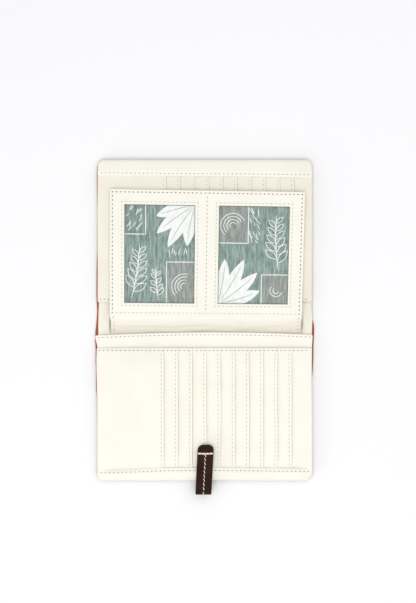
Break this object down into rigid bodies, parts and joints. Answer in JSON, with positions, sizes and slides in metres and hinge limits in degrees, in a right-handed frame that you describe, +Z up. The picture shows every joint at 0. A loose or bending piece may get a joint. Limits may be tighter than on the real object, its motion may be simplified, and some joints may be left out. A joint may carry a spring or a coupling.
{
  "type": "wallet",
  "caption": "Folding leather wallet lying open, with shingled card pockets on both halves, a turning page with clear windows, a slip pocket and a magnetic closing strap.",
  "frame": {"origin": "middle of the spine's underside, on the surface that the open wallet lies on", "axes": "+Z up out of the open wallet, +X along the fold to the pockets' open side, +Y from the fold to the half under the window page"},
  "size_m": [0.18, 0.2752, 0.0125],
  "materials": {
    "cream_leather": "matte, fine grain",
    "tan_leather": "satin, fine grain",
    "brown_leather": "satin, waxed",
    "pocket_fabric": "plain weave",
    "backing_board": "fibre board",
    "clear_film": "clear gloss film",
    "printed_card": "printed card",
    "magnet_steel": "plated"
  },
  "bodies": {
    "lower_half": {"cover_lower": "tan_leather", "lining_lower": "cream_leather", "slip_pocket": "cream_leather", "lower_card_backing": "backing_board", "lower_pocket_fabric": "pocket_fabric", "lower_pocket_01": "cream_leather", "lower_pocket_02": "cream_leather", "lower_pocket_03": "cream_leather", "lower_pocket_04": "cream_leather", "lower_pocket_05": "cream_leather", "lower_pocket_06": "cream_leather", "lower_pocket_07": "cream_leather", "lower_pocket_08": "cream_leather", "lower_pocket_09": "cream_leather", "lower_pocket_10": "cream_leather", "lower_card_base": "cream_leather", "lower_edge_band": "cream_leather", "strap_root": "brown_leather", "strap_bend": "brown_leather", "page_hinge_root": "cream_leather"},
    "spine": {"cover_spine": "tan_leather", "lining_spine": "cream_leather", "page_hinge_strip": "cream_leather"},
    "upper_half": {"cover_upper": "tan_leather", "lining_upper": "cream_leather", "upper_card_backing": "backing_board", "upper_pocket_fabric": "pocket_fabric", "upper_pocket_01": "cream_leather", "upper_pocket_02": "cream_leather", "upper_pocket_03": "cream_leather", "upper_pocket_04": "cream_leather", "upper_pocket_05": "cream_leather", "upper_pocket_06": "cream_leather", "upper_pocket_07": "cream_leather", "upper_pocket_08": "cream_leather", "upper_pocket_09": "cream_leather", "upper_pocket_10": "cream_leather", "upper_card_base": "cream_leather", "upper_edge_band": "cream_leather", "cover_magnet": "magnet_steel"},
    "page_binding": {"page_binding": "cream_leather"},
    "window_page": {"page_front": "cream_leather", "page_core": "backing_board", "page_back": "cream_leather", "window_film_left": "clear_film", "window_film_right": "clear_film", "window_insert_left": "printed_card", "window_insert_right": "printed_card"},
    "strap_shank": {"strap_shank": "brown_leather"},
    "strap_tip": {"strap_tip": "brown_leather", "strap_tip_lining": "brown_leather", "tip_magnet": "magnet_steel"}
  },
  "joints": [
    {"name": "spine_fold", "type": "hinge", "parent": "lower_half", "child": "spine", "pos_m": [0, -0.011, 0.0014], "axis": [1, 0, 0], "range_deg": [0, 90], "deforming": ["cover_spine", "lining_spine", "page_hinge_strip"]},
    {"name": "cover_fold", "type": "hinge", "parent": "spine", "child": "upper_half", "pos_m": [0, 0.011, 0.0014], "axis": [1, 0, 0], "range_deg": [0, 90]},
    {"name": "page_fold", "type": "hinge", "parent": "spine", "child": "page_binding", "pos_m": [0, 0.0049, 0.0063], "axis": [1, 0, 0], "range_deg": [0, 90]},
    {"name": "page_turn", "type": "hinge", "parent": "page_binding", "child": "window_page", "pos_m": [0, 0.00325, 0.01027], "axis": [-1, 0, 0], "range_deg": [-180, 0]},
    {"name": "strap_lift", "type": "hinge", "parent": "lower_half", "child": "strap_shank", "pos_m": [0, -0.13759, 0.00711], "axis": [1, 0, 0], "range_deg": [0, 90], "deforming": ["strap_bend"]},
    {"name": "strap_tip_fold", "type": "hinge", "parent": "strap_shank", "child": "strap_tip", "pos_m": [0, -0.1206, 0.00912], "axis": [1, 0, 0], "range_deg": [-90, 0]}
  ],
  "couplings": [
    {"joint": "cover_fold", "follows": "spine_fold", "ratio": 1},
    {"joint": "page_fold", "follows": "spine_fold", "ratio": 1},
    {"joint": "strap_tip_fold", "follows": "strap_lift", "ratio": -1}
  ]
}
